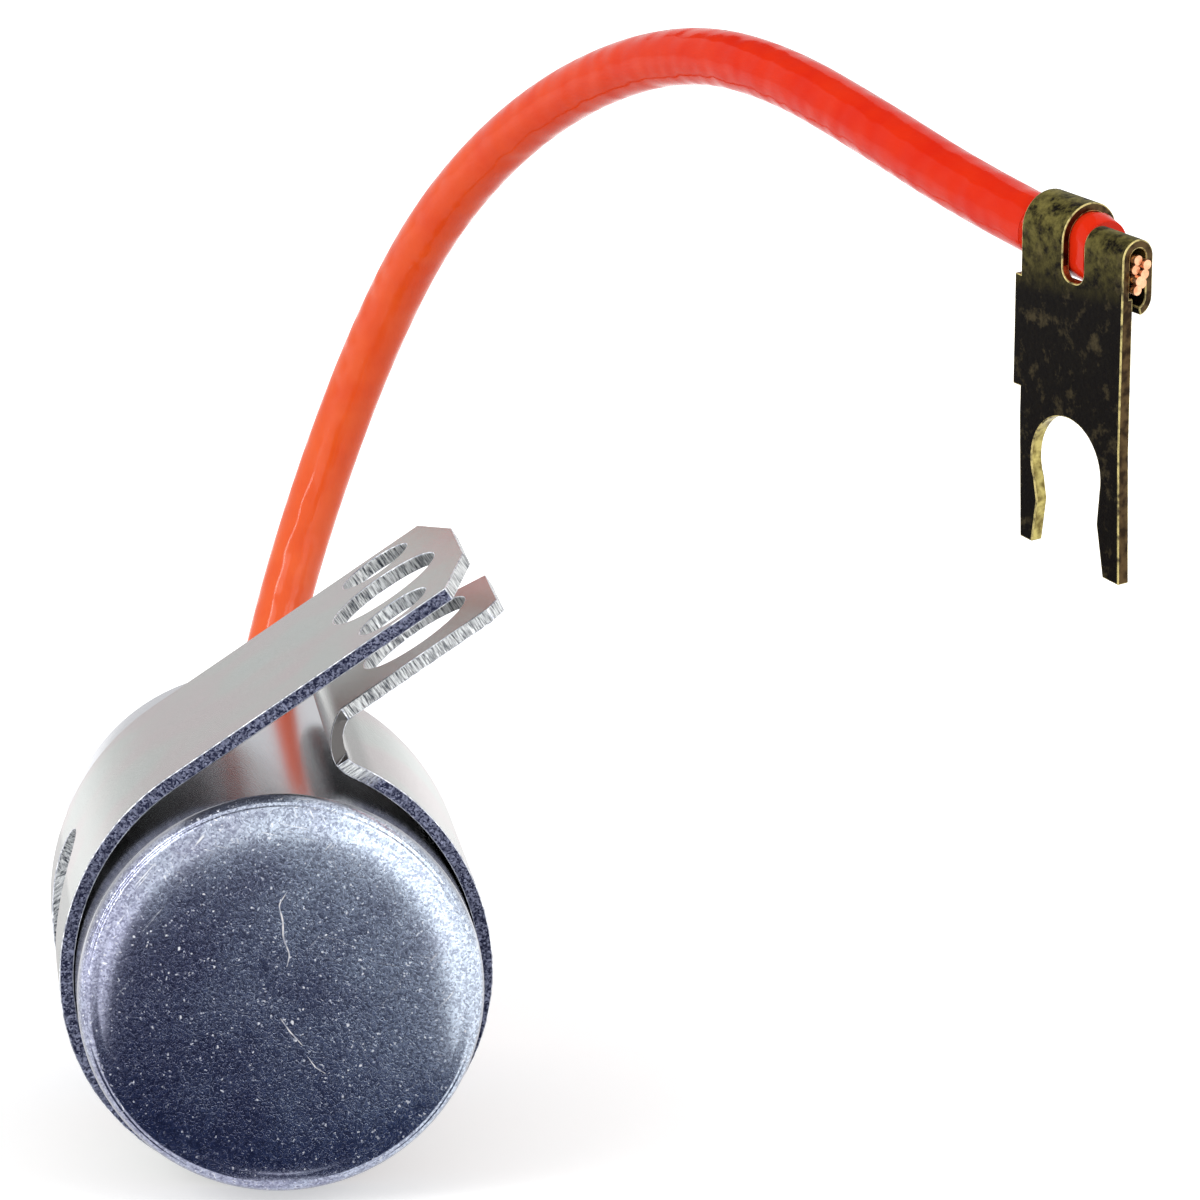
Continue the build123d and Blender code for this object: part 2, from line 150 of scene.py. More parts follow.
# %% [markdown]
# ## Building with grids
# A turned shape is a profile carried round an axis. The profile is a list of radius and distance
# pairs, the turn is a list of angles, and numpy multiplies the two into a grid of points at once. The
# faces are the squares between neighbouring grid points, found the same way.

# %% Helpers for worked-out surfaces
def ring_faces(rows, columns):
    """Squares between neighbouring rows of a grid whose columns close into a ring."""
    row, column = np.meshgrid(np.arange(rows - 1), np.arange(columns), indexing="ij")
    beside = (column + 1) % columns
    corners = [row * columns + column, row * columns + beside]
    corners += [(row + 1) * columns + beside, (row + 1) * columns + column]
    return np.stack(corners, axis=-1).reshape(-1, 4)


def add_piece(name, points, faces, slot, replaces=None):
    """Make a mesh object from points and faces, joined where points fall together."""
    mesh = bpy.data.meshes.new(name)
    mesh.from_pydata(points.tolist(), [], faces.tolist())
    work = bmesh.new()
    work.from_mesh(mesh)
    bmesh.ops.remove_doubles(work, verts=work.verts, dist=0.0005 * MM)
    bmesh.ops.recalc_face_normals(work, faces=work.faces)
    work.to_mesh(mesh)
    work.free()
    piece = bpy.data.objects.new(name, mesh)
    bpy.context.scene.collection.objects.link(piece)
    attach(piece, "root")
    if replaces:
        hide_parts(replaces)
    return piece


def shade_smooth(mesh, sharp_degrees):
    """Smooth shading, with a crease wherever two faces meet at more than the given angle."""
    mesh.polygons.foreach_set("use_smooth", np.ones(len(mesh.polygons), dtype=bool))
    mesh.set_sharp_from_angle(angle=radians(sharp_degrees))


def turn_round_can(profile, columns):
    """Carry (radius, distance) pairs round the can's axis: x = r cos a, y = distance, z = r sin a."""
    radius, along = np.asarray(profile).T
    angle = np.linspace(0, 2 * pi, columns, endpoint=False)
    grid = np.empty((len(radius), columns, 3))
    grid[..., 0] = np.outer(radius, np.cos(angle))
    grid[..., 1] = along[:, None]
    grid[..., 2] = np.outer(radius, np.sin(angle))
    return can_end + grid.reshape(-1, 3), ring_faces(len(radius), columns)


def arc(centre, radius, start, end, steps):
    """Points of a circle from one angle to another, in degrees."""
    angle = np.radians(np.linspace(start, end, steps))
    return np.column_stack([centre[0] + radius * np.cos(angle), centre[1] + radius * np.sin(angle)])

# %% [markdown]
# ## The can
# The can is deep drawn from thin sheet, so its flat end isn't quite flat: it is crowned
# by a hair, and falls away faster beside the corner. That fall is what catches the light as a pale
# ring. The tilt is given as a function of the radius and added up into a height. A shallow line
# runs round the corner, where the sheet left the drawing punch.

# %% Work out the can's surface
corner_radius = 0.85 * MM
lip_radius = 0.9 * MM
wall = 0.4 * MM
corner_start = can_radius - corner_radius
crown_tilt = 2.6  # degrees, of the slow fall, where the corner begins
shoulder_tilt = 15.0  # degrees, of the quick fall beside the corner
corner_tilt = crown_tilt + shoulder_tilt
line_radius = 8.78 * MM
line_width = 0.06 * MM
line_depth = 0.035 * MM
opening_radius = 7.0 * MM
can_columns = 224


def can_end_profile(steps):
    """Height of the end: a tilt of crown * way**2 + shoulder * way**12, its tangent summed up."""
    radius = np.linspace(0, corner_start, steps)
    way_out = radius / corner_start
    slope = np.tan(np.radians(crown_tilt * way_out**2 + shoulder_tilt * way_out**12))
    height = np.concatenate([[0], np.cumsum((slope[1:] + slope[:-1]) / 2 * np.diff(radius))])
    return np.column_stack([radius, height])


flat_end = can_end_profile(60)
corner = arc((corner_start, flat_end[-1, 1] + corner_radius), corner_radius, -90 + corner_tilt, 0, 40)
corner[:, 1] += flat_end[-1, 1] - corner[0, 1]
corner[:, 1] += line_depth * np.exp(-(((corner[:, 0] - line_radius) / line_width) ** 2))
lip = arc((can_radius - lip_radius, can_length - lip_radius), lip_radius, 0, 90, 14)
inside = [
    (opening_radius, can_length),
    (opening_radius, can_length - wall),
    (can_radius - lip_radius, can_length - wall),
    (can_radius - wall, can_length - lip_radius),
    (can_radius - wall, corner_radius),
    (corner_start, wall),
    (0, wall),
]
wall_steps = np.linspace(corner[-1, 1], can_length - lip_radius, 14)[1:-1]
straight = np.column_stack([np.full(len(wall_steps), can_radius), wall_steps])
can_profile = np.vstack([flat_end, corner[1:], straight, lip, inside])
can = add_piece("can", *turn_round_can(can_profile, can_columns), "can_steel", "can_shell")
shade_smooth(can.data, 40)
print("can: faces", len(can.data.polygons))

# %% [markdown]
# ## The seal
# A black rubber seal lies under the can's rolled lip, with a collar that hugs the lead. It is turned
# like the can, and moulded rubber has soft corners, so each corner is an arc.

# %% Work out the seal's surface
seal_low, seal_high = (np.array(corner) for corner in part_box("rubber_seal"))
seal_radius = (seal_high[0] - seal_low[0]) / 2
seal_bottom = seal_low[1] - can_end[1]
seal_rim = can_length - wall
collar_top = seal_high[1] - can_end[1]
collar_radius = 3.0 * MM
bore_clearance = 0.05 * MM
bore = lead_diameter / 2 + bore_clearance
soft = 0.2 * MM
shoulder = 0.5 * MM
under_lip = 0.02 * MM
seal_columns = 96
seal_profile = np.vstack([
    [(bore, seal_bottom), (seal_radius, seal_bottom)],
    arc((seal_radius - shoulder, seal_rim - under_lip - shoulder), shoulder, 0, 90, 8),
    arc((collar_radius + soft, seal_rim + soft), soft, 270, 180, 8),
    arc((collar_radius - soft, collar_top - soft), soft, 0, 90, 8),
    arc((bore + soft, collar_top - soft), soft, 90, 180, 8),
    [(bore, seal_bottom)],
])
seal = add_piece("seal", *turn_round_can(seal_profile, seal_columns), "seal_rubber", "rubber_seal")
shade_smooth(seal.data, 40)
print("seal: faces", len(seal.data.polygons))

# %% [markdown]
# ## Sheet pieces
# The strap and the fork are stamped and folded in the solid model already. Real sheet never has
# knife-sharp edges, so a copy of each mesh is joined up, and a Bevel modifier rounds its edges by a few
# hundredths of a millimetre. The bevel's own faces take a second material, which is how worn, bright
# edges are made. Each face also stores whether it is sheet surface or a cut edge, because a cut edge is
# bare, torn metal with a finish of its own.

# %% Helpers for sheet pieces
def joined_copy(node, name):
    """Copy a solid's mesh, join its loose triangles and merge those that lie in one plane."""
    mesh = frame["nodes"][node].data.copy()
    mesh.name = name
    mesh.materials.clear()
    work = bmesh.new()
    work.from_mesh(mesh)
    bmesh.ops.remove_doubles(work, verts=work.verts, dist=0.0005 * MM)
    bmesh.ops.dissolve_limit(work, angle_limit=radians(0.5), verts=work.verts, edges=work.edges)
    work.to_mesh(mesh)
    work.free()
    piece = bpy.data.objects.new(name, mesh)
    bpy.context.scene.collection.objects.link(piece)
    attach(piece, "root")
    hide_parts(node)
    return piece


def face_places(mesh):
    """The middle and the direction of every face, as two arrays."""
    count = len(mesh.polygons)
    middle, normal = np.empty(count * 3), np.empty(count * 3)
    mesh.polygons.foreach_get("center", middle)
    mesh.polygons.foreach_get("normal", normal)
    return middle.reshape(-1, 3), normal.reshape(-1, 3)


def store_mask(mesh, name, chosen):
    """Keep a yes or no for every face, as 1 or 0, for the materials to read."""
    mask = mesh.attributes.new(name, "FLOAT", "FACE")
    mask.data.foreach_set("value", np.asarray(chosen, dtype=np.float32))


def soften_edges(piece, width):
    """Round all edges sharper than forty degrees. The rounding takes the piece's second material."""
    bevel = piece.modifiers.new("worn edges", "BEVEL")
    bevel.width = width
    bevel.segments = 2
    bevel.limit_method = "ANGLE"
    bevel.angle_limit = radians(40)
    bevel.harden_normals = True
    bevel.use_clamp_overlap = False  # else the shortest edge of all would set every edge's width
    bevel.material = 1

# %% Round the strap's edges
ear_up = np.array(mounts["screw_hole"]["axis"])
ear_out = np.cross([0, 1, 0], ear_up)
strap = joined_copy("mounting_strap", "strap")
middle, normal = face_places(strap.data)
from_axis = (middle - can_end) * [1, 0, 1]
reach = from_axis @ ear_out
radial = from_axis / np.linalg.norm(from_axis, axis=1)[:, None]
ears_begin = can_radius + 1.4 * MM
beyond_can = reach > ears_begin
left_side = from_axis[:, 0] < -0.8 * can_radius
across = np.abs(normal[:, 1]) > 0.5
ear_cut = beyond_can & (np.abs(normal @ ear_up) < 0.5)
hole_cut = left_side & (np.abs((normal * radial).sum(axis=1)) < 0.5)
strap_near = np.array(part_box("mounting_strap")[0])[1]
slit = across & (middle[:, 1] < strap_near + 0.1 * MM)
cut = across | ear_cut | hole_cut
store_mask(strap.data, "cut", cut)
store_mask(strap.data, "slit", slit)
shade_smooth(strap.data, 30)
soften_edges(strap, 0.05 * MM)
print("strap: faces", len(strap.data.polygons), "cut", int(cut.sum()))

# %% Round the fork's edges
terminal_turn, terminal_dip = radians(59.7), radians(7.0)
fork_front = np.array(mounts["fork_slot"]["axis"])
fork_along = np.array([
    cos(terminal_dip) * cos(terminal_turn),
    -cos(terminal_dip) * sin(terminal_turn),
    -sin(terminal_dip),
])
fork_up = np.cross(fork_front, fork_along)
slot_middle = np.array(mounts["fork_slot"]["pos_m"])
tabs_begin = 9.2 * MM  # above the slot's middle
tabs_behind = 0.4 * MM  # the folded tabs lie further back than this
slot_reach = 3.0 * MM  # to either side of the slot's middle
fork = joined_copy("fork_terminal", "fork")
middle, normal = face_places(fork.data)
height = (middle - slot_middle) @ fork_up
depth = (middle - slot_middle) @ fork_front
ends = np.abs(normal @ fork_along) > 0.3
outline = (height < tabs_begin) & (depth > -tabs_behind) & (np.abs(normal @ fork_front) < 0.3)
near_slot = np.abs((middle - slot_middle) @ fork_along) < slot_reach
store_mask(fork.data, "cut", ends | outline)
store_mask(fork.data, "slot", outline & near_slot)
shade_smooth(fork.data, 30)
soften_edges(fork, 0.06 * MM)
print("fork: faces", len(fork.data.polygons), "cut", int((ends | outline).sum()))

# %% [markdown]
# ## The lead's crimped end
# Between the fork's two crimps the squeezed end of the lead's tube bulges out and hides the strands. The
# solid piece is cut off short there, so its copy is stretched: points at the open end move along the
# fork and droop a little, so that the tube fills the gap.

# %% Stretch the crimped end
pulled_out = 0.38 * MM
drooped = 0.16 * MM
flattened = 0.08
crimped_end = joined_copy("lead_crimped_end", "crimped_lead_end")
count = len(crimped_end.data.vertices)
points = np.empty(count * 3)
crimped_end.data.vertices.foreach_get("co", points)
points = points.reshape(-1, 3)
along = points @ fork_along
at_open_end = along > along.max() - 0.1 * MM
end_middle = points[at_open_end].mean(axis=0)
from_middle = points[at_open_end] - end_middle
lower = np.outer(from_middle @ fork_up, fork_up) * -flattened - drooped * fork_up
points[at_open_end] += lower + pulled_out * fork_along
crimped_end.data.vertices.foreach_set("co", points.ravel())
crimped_end.data.update()
shade_smooth(crimped_end.data, 50)
rounding = crimped_end.modifiers.new("soft end", "BEVEL")
rounding.width = 0.18 * MM
rounding.segments = 4
rounding.limit_method = "ANGLE"
rounding.angle_limit = radians(50)
print("crimped end: points moved", int(at_open_end.sum()), "of", count)

# %% [markdown]
# ## The lead as a cord
# The lead is a free cord. It leaves the can at its open end and carries its own squeezed end, the fork
# and the seven strands.

# %% [markdown]
# ## Building with shader nodes
# Every finish below is made of Blender's own procedural textures. One helper adds a node and fills its
# sockets: a number or colour is set on the socket, and another node's output is linked to it. All
# patterns are worked out in millimetres, so a texture scale of 5 means five grains to the millimetre.

# %% Helpers for shader nodes
def add_node(tree, kind, sockets=None, **settings):
    """Add a shader node, set its own settings, then fill or link its input sockets by name."""
    node = tree.nodes.new("ShaderNode" + kind)
    for name, value in settings.items():
        setattr(node, name, value)
    for name, value in (sockets or {}).items():
        if isinstance(value, bpy.types.NodeSocket):
            tree.links.new(value, node.inputs[name])
        else:
            node.inputs[name].default_value = value
    return node


def millimetres(tree):
    """The point being shaded, in millimetres."""
    place = add_node(tree, "TexCoord")
    scaled = add_node(tree, "VectorMath", {0: place.outputs["Object"]}, operation="SCALE")
    scaled.inputs["Scale"].default_value = 1 / MM
    return scaled.outputs["Vector"]


def noise(tree, vector, scale, detail=2.0, roughness=0.5):
    """Soft random values from 0 to 1."""
    sockets = {"Vector": vector, "Scale": scale, "Detail": detail, "Roughness": roughness}
    return add_node(tree, "TexNoise", sockets).outputs["Fac"]


def remap(tree, value, low, high, new_low=0.0, new_high=1.0):
    """Stretch the values between low and high over a new range, and hold them there."""
    sockets = {"Value": value, "From Min": low, "From Max": high, "To Min": new_low, "To Max": new_high}
    return add_node(tree, "MapRange", sockets).outputs["Result"]


def maths(tree, operation, first, second):
    """One sum of two numbers."""
    return add_node(tree, "Math", {0: first, 1: second}, operation=operation).outputs[0]


def blend(tree, factor, first, second):
    """Mix two colours."""
    node = add_node(tree, "Mix", {"Factor": factor}, data_type="RGBA")
    for socket, value in ((node.inputs[6], first), (node.inputs[7], second)):
        if isinstance(value, bpy.types.NodeSocket):
            tree.links.new(value, socket)
        else:
            socket.default_value = (*value, 1)
    return node.outputs[2]


def bump(tree, height, distance, strength=1.0):
    """Turn a height from 0 to 1 into a tilt of the surface, as if it stood that far up."""
    sockets = {"Height": height, "Distance": distance, "Strength": strength}
    return add_node(tree, "Bump", sockets).outputs["Normal"]


def new_material(name, **sockets):
    """A material with its Principled shader's plain sockets set, given back with its node tree."""
    material = bpy.data.materials.new(name)
    material.use_nodes = True
    tree = material.node_tree
    shader = tree.nodes["Principled BSDF"]
    for socket, value in sockets.items():
        shader.inputs[socket.replace("_", " ")].default_value = value
    return material, tree, shader

# %% [markdown]
# ## Shared effects
# Three effects are used more than once, so each is a node group with its own sockets. Grain is the
# fine sparkle of zinc plate: tiny crystals, some brighter and some darker. Scratches are short bright
# lines, made by stretching noise a long way in one direction and keeping only its peaks. Shear marks
# are the torn lines that run across the thickness of sheet where a tool has cut it.

# %% Make the grain group
def new_group(name, inputs, outputs):
    """An empty node group with float or vector inputs and float outputs, and its two end nodes."""
    group = bpy.data.node_groups.new(name, "ShaderNodeTree")
    for socket, kind in inputs.items():
        group.interface.new_socket(socket, in_out="INPUT", socket_type="NodeSocket" + kind)
    for socket in outputs:
        group.interface.new_socket(socket, in_out="OUTPUT", socket_type="NodeSocketFloat")
    return group, group.nodes.new("NodeGroupInput").outputs, group.nodes.new("NodeGroupOutput").inputs


def use_group(tree, group, sockets):
    """Place a node group and fill its sockets."""
    node = tree.nodes.new("ShaderNodeGroup")
    node.node_tree = group
    for name, value in sockets.items():
        if isinstance(value, bpy.types.NodeSocket):
            tree.links.new(value, node.inputs[name])
        else:
            node.inputs[name].default_value = value
    return node.outputs


grain, given, result = new_group(
    "plated grain", {"Point": "Vector", "Size": "Float"}, ["Shade", "Height"]
)
cells = add_node(grain, "TexVoronoi", {"Vector": given["Point"]}, feature="F1")
per_size = maths(grain, "DIVIDE", 1.0, given["Size"])
grain.links.new(per_size, cells.inputs["Scale"])
crystal = add_node(grain, "SeparateColor", {"Color": cells.outputs["Color"]}).outputs["Red"]
cloud = add_node(grain, "TexNoise", {"Vector": given["Point"], "Detail": 3.0})
grain.links.new(maths(grain, "MULTIPLY", per_size, 0.35), cloud.inputs["Scale"])
grain.links.new(maths(grain, "MULTIPLY", crystal, cloud.outputs["Fac"]), result["Shade"])
grain.links.new(crystal, result["Height"])
print("group:", grain.name, "with", len(grain.nodes), "nodes")

# %% Make the scratches group
scratches, given, result = new_group(
    "short scratches", {"Point": "Vector", "Spacing": "Float", "Amount": "Float"}, ["Mask"]
)
layers = []
for angle in (20, 75, 140):
    turned = add_node(scratches, "VectorRotate", {"Vector": given["Point"]}, rotation_type="AXIS_ANGLE")
    turned.inputs["Axis"].default_value = (0, 1, 0)
    turned.inputs["Angle"].default_value = radians(angle)
    squashed = {0: turned.outputs[0], 1: (1, 1, 0.05)}
    long_way = add_node(scratches, "VectorMath", squashed, operation="MULTIPLY")
    stretched = add_node(scratches, "TexNoise", {"Vector": long_way.outputs[0], "Detail": 1.0})
    scratches.links.new(maths(scratches, "DIVIDE", 8.0, given["Spacing"]), stretched.inputs["Scale"])
    limit = maths(scratches, "SUBTRACT", 0.82, given["Amount"])
    over = maths(scratches, "SUBTRACT", stretched.outputs["Fac"], limit)
    layers.append(maths(scratches, "MULTIPLY", over, 12.0))
together = maths(scratches, "MAXIMUM", layers[0], maths(scratches, "MAXIMUM", layers[1], layers[2]))
held = add_node(scratches, "Clamp", {"Value": together})
scratches.links.new(held.outputs[0], result["Mask"])
print("group:", scratches.name, "with", len(scratches.nodes), "nodes")

# %% Make the shear marks group
shear, given, result = new_group("shear marks", {"Point": "Vector", "Spacing": "Float"}, ["Height"])
ragged = add_node(shear, "TexNoise", {"Vector": given["Point"], "Detail": 3.0, "Roughness": 0.7})
shear.links.new(maths(shear, "DIVIDE", 1.0, given["Spacing"]), ragged.inputs["Scale"])
steep = maths(shear, "MULTIPLY", maths(shear, "SUBTRACT", ragged.outputs["Fac"], 0.36), 4.6)
held = add_node(shear, "Clamp", {"Value": steep})
shear.links.new(held.outputs[0], result["Height"])
print("group:", shear.name, "with", len(shear.nodes), "nodes")

# %% [markdown]
# ## Finish of the can
# The can is zinc plated: a grey metal with a blue cast and a sparkle of fine crystals. Metals have no
# colour of their own beside their reflection, so the base colour is the tint of that reflection. The
# flat end is clouded at random, and is painted paler to the upper right and deeper blue to the lower
# left: painted light. Its bright crystals, pits and short scratches are paler, and the first two are
# rougher too, so that they gather light from all around and show on the dark mirror. The can's side
# is plainer and darker, and a very low bump makes each crystal face its own way.

# %% Make the zinc plate material
def put(tree, value, shader, socket):
    """Link a worked-out value to one of the shader's sockets."""
    tree.links.new(value, shader.inputs[socket])


zinc, tree, shader = new_material("blue zinc plate", Metallic=1.0)
point = millimetres(tree)
crystals = use_group(tree, grain, {"Point": point, "Size": 0.085})
fine = use_group(tree, scratches, {"Point": point, "Spacing": 1.1, "Amount": 0.10})
centre = tuple(can_end / MM)
# Painted light: along this way, to the upper right, the plate is made paler, and darker the other way.
painted_light_way = (0.85, 0.0, 0.35)
from_middle = add_node(tree, "VectorMath", {0: point, 1: centre}, operation="SUBTRACT").outputs[0]
slant = add_node(tree, "VectorMath", {0: from_middle, 1: painted_light_way}, operation="DOT_PRODUCT")
painted_light_side = remap(tree, slant.outputs["Value"], -5.5, 6.5, -0.22, 0.30)
cloud_and_painted_light = maths(tree, "ADD", noise(tree, point, 0.3, 4.0, 0.6), painted_light_side)
cloud_and_painted_light = remap(tree, cloud_and_painted_light, 0.3, 0.75)
plate = blend(tree, cloud_and_painted_light, (0.46, 0.48, 0.62), (0.76, 0.86, 1.0))
deep = blend(tree, 0.62, plate, (0.03, 0.03, 0.10))
plate = blend(tree, remap(tree, crystals["Shade"], 0.0, 0.45), deep, plate)
sparkle = remap(tree, crystals["Shade"], 0.53, 0.64)
plate = blend(tree, sparkle, plate, (0.92, 0.93, 0.97))
pits = remap(tree, noise(tree, point, 3.6, 1.0), 0.775, 0.80)
plate = blend(tree, pits, plate, (0.95, 0.95, 0.97))
plate = blend(tree, fine["Mask"], plate, (0.88, 0.90, 0.94))
from_end = add_node(tree, "SeparateXYZ", {"Vector": from_middle}).outputs["Y"]
on_wall = remap(tree, from_end, 0.55, 0.9)
wall_plate = blend(tree, crystals["Shade"], (0.34, 0.35, 0.39), (0.43, 0.44, 0.48))
plate = blend(tree, on_wall, plate, wall_plate)
put(tree, plate, shader, "Base Color")
dull = remap(tree, cloud_and_painted_light, 0.0, 1.0, 0.2, 0.25)
broken = maths(tree, "MAXIMUM", sparkle, pits)
dull = remap(tree, broken, 0.0, 1.0, dull, 0.6)
put(tree, remap(tree, on_wall, 0.0, 1.0, dull, 0.2), shader, "Roughness")
lift = maths(tree, "MULTIPLY", crystals["Height"], remap(tree, on_wall, 0.0, 1.0, 1.0, 0.15))
put(tree, bump(tree, lift, 0.004 * MM, 0.7), shader, "Normal")
can.data.materials.append(zinc)
print("material:", zinc.name)

# %% [markdown]
# ## Two scratches on the flat end
# Two hair-thin scratches cross the flat end. Each is a ribbon: a path through a few points, smoothed by
# interpolation, with a width that swells and dies away along it. It lies a hundredth of a millimetre
# proud of the plate, which is far too little to see, and keeps the two surfaces apart.

# %% Work out the scratches
def ribbon(corners, width, steps=40):
    """Points either side of a smoothed path: path +/- across * width * sin(pi * way along)."""
    corners = np.array(corners)
    lengths = np.linalg.norm(np.diff(corners, axis=0), axis=1)
    marks = np.concatenate([[0], np.cumsum(lengths)]) / lengths.sum()
    way = np.linspace(0, 1, steps)
    path = np.column_stack([np.interp(way, marks, corners[:, side]) for side in (0, 1)])
    smooth = np.ones(5) / 5
    for side in (0, 1):
        path[2:-2, side] = np.convolve(path[:, side], smooth, "valid")
    along = np.gradient(path, axis=0)
    across = along[:, ::-1] * [1, -1] / np.linalg.norm(along, axis=1)[:, None]
    swell = (width / 2 * (0.35 + 0.65 * np.sin(pi * way)))[:, None]
    return np.stack([path - across * swell, path + across * swell], axis=1).reshape(-1, 2)


scratch_paths = [
    ([(0.25, 4.9), (-0.15, 4.3), (0.05, 3.6), (0.05, 2.8), (0.35, 2.0), (0.2, 1.45)], 0.075),
    ([(-0.1, -0.9), (0.3, -1.5), (0.9, -2.2)], 0.06),
    ([(1.1, -2.7), (1.45, -3.2), (1.9, -3.5)], 0.05),
]
proud = 0.01
scratch_points, scratch_faces = [], []
for corners, width in scratch_paths:
    flat = ribbon(corners, width)
    rows = np.arange(len(flat) // 2 - 1) * 2 + sum(len(points) for points in scratch_points)
    scratch_points.append(np.column_stack([flat[:, 0], np.full(len(flat), -proud), flat[:, 1]]))
    scratch_faces.append(np.column_stack([rows, rows + 1, rows + 3, rows + 2]))
scratch_points = can_end + np.vstack(scratch_points) * MM
face_scratches = add_piece("can_end_scratches", scratch_points, np.vstack(scratch_faces), "can_steel")

scratch_metal, tree, shader = new_material("scratched zinc", Metallic=0.5, Roughness=0.6)
broken = remap(tree, noise(tree, millimetres(tree), 2.5), 0.35, 0.6)
put(tree, blend(tree, broken, (0.35, 0.37, 0.45), (0.86, 0.84, 0.84)), shader, "Base Color")
face_scratches.data.materials.append(scratch_metal)
print("scratches: faces", len(face_scratches.data.polygons))

# %% [markdown]
# ## Finish of the strap
# The strap is cut from bright sheet and plated after it was folded. Thin plating splits light a little,
# so broad faint patches lean to pink and to green. The cut edges are another matter. The punch shears
# through the first part of the thickness and tears the rest, so they carry ragged lines that run
# straight through the sheet. In the ears that direction is the ears' own, so the pattern is turned to
# it first, then squashed along it, and the noise comes out as lines. The strip's long near edge was
# slit and not punched. Its speckle is grain, and its dark blue is a painted reflection, as dark as
# the can's end looks. The fold below the ears is painted darker towards the can: painted shade.

# %% Make the strap's materials
def ear_point(tree, point):
    """The same point measured along the ears, along the can, and through the ears."""
    turned = add_node(tree, "VectorRotate", {"Vector": point}, rotation_type="AXIS_ANGLE")
    turned.inputs["Axis"].default_value = (0, 1, 0)
    turned.inputs["Angle"].default_value = float(np.arctan2(ear_out[2], ear_out[0]))
    return turned.outputs["Vector"]


def stored(tree, name):
    """A mask that was stored on the faces."""
    return add_node(tree, "Attribute", attribute_name=name).outputs["Fac"]


plated, tree, shader = new_material("bright strap plate", Metallic=1.0)
point = millimetres(tree)
turned = ear_point(tree, point)
place = add_node(tree, "SeparateXYZ", {"Vector": turned}).outputs
crystals = use_group(tree, grain, {"Point": point, "Size": 0.075})
fine = use_group(tree, scratches, {"Point": point, "Spacing": 1.6, "Amount": 0.02})
hue = noise(tree, point, 0.16, 2.0)
sheet = blend(tree, remap(tree, hue, 0.42, 0.56), (0.335, 0.285, 0.285), (0.315, 0.312, 0.295))
sheet = blend(tree, remap(tree, hue, 0.52, 0.66), sheet, (0.295, 0.325, 0.305))
dimmed = blend(tree, 0.2, sheet, (0.1, 0.1, 0.12))
sheet = blend(tree, remap(tree, crystals["Shade"], 0.0, 0.6), dimmed, sheet)
sheet = blend(tree, fine["Mask"], sheet, (0.75, 0.76, 0.78))

warm = remap(tree, place["X"], 2.5, 7.5, 0.0, 0.8)
sheet = blend(tree, warm, sheet, (0.36, 0.235, 0.215))

below_ears = remap(tree, place["Z"], -0.7, -0.9)
above_flank = remap(tree, place["Z"], -3.8, -3.2)
in_fold = maths(tree, "MULTIPLY", below_ears, above_flank)
# Painted shade: below the ears, the fold is made darker the nearer it lies to the can.
fold_painted_shade = remap(tree, place["X"], 1.0, -4.5, 0.0, 0.7)
sheet = blend(tree, maths(tree, "MULTIPLY", in_fold, fold_painted_shade), sheet, (0.05, 0.055, 0.05))

at_bend = remap(tree, place["Z"], -1.7, -1.9)
ears_way = add_node(tree, "VectorMath", {0: turned, 1: (1, 1, 0.12)}, operation="MULTIPLY").outputs[0]
bend_way = add_node(tree, "VectorMath", {0: turned, 1: (0.12, 1, 1)}, operation="MULTIPLY").outputs[0]
torn_ears = use_group(tree, shear, {"Point": ears_way, "Spacing": 0.10})["Height"]
torn_bend = use_group(tree, shear, {"Point": bend_way, "Spacing": 0.10})["Height"]
torn = remap(tree, at_bend, 0.0, 1.0, torn_ears, torn_bend)
below_long_ear = remap(tree, place["Z"], -0.4, -0.6)
above_bend = remap(tree, place["Z"], -4.2, -3.2)
on_tongue = maths(tree, "MULTIPLY", below_long_ear, above_bend)
on_tongue = maths(tree, "MULTIPLY", on_tongue, remap(tree, place["X"], -6.8, -5.8))
on_slit = maths(tree, "MULTIPLY", stored(tree, "slit"), maths(tree, "SUBTRACT", 1.0, on_tongue))
bare = blend(tree, torn, (0.05, 0.06, 0.08), (0.88, 0.90, 0.90))
speckled = remap(tree, crystals["Shade"], 0.1, 0.5)
# Painted reflection: the slit edge is coloured dark blue, as if it mirrored dark surroundings; the
# speckle is grain.
slit_painted_dark = blend(tree, speckled, (0.022, 0.025, 0.055), (0.28, 0.30, 0.42))
bare = blend(tree, on_slit, bare, slit_painted_dark)
cut = stored(tree, "cut")
put(tree, blend(tree, cut, sheet, bare), shader, "Base Color")
put(tree, remap(tree, cut, 0.0, 1.0, 0.24, 0.4), shader, "Roughness")
relief = maths(tree, "MULTIPLY", torn, cut)
low = bump(tree, crystals["Height"], 0.003 * MM, 0.5)
ridges = add_node(tree, "Bump", {"Height": relief, "Distance": 0.03 * MM, "Normal": low})
put(tree, ridges.outputs["Normal"], shader, "Normal")

rubbed, tree, shader = new_material("rubbed strap edge", Metallic=1.0)
point = millimetres(tree)
worn = remap(tree, noise(tree, point, 3.0, 4.0, 0.7), 0.4, 0.6)
put(tree, blend(tree, worn, (0.34, 0.36, 0.42), (0.86, 0.88, 0.92)), shader, "Base Color")
put(tree, remap(tree, worn, 0.0, 1.0, 0.45, 0.25), shader, "Roughness")
strap.data.materials.append(plated)
strap.data.materials.append(rubbed)
print("materials:", plated.name, "and", rubbed.name)

# %% [markdown]
# ## Finish of the fork
# The fork is stamped brass that has gone brown-black with age. Only its rims, where it was cut and where
# fingers and tools rub, still shine yellow. A few smudges on its face have been rubbed half clean, and
# the tops of its crimps, where the tool pressed, show larger patches of dull gold.

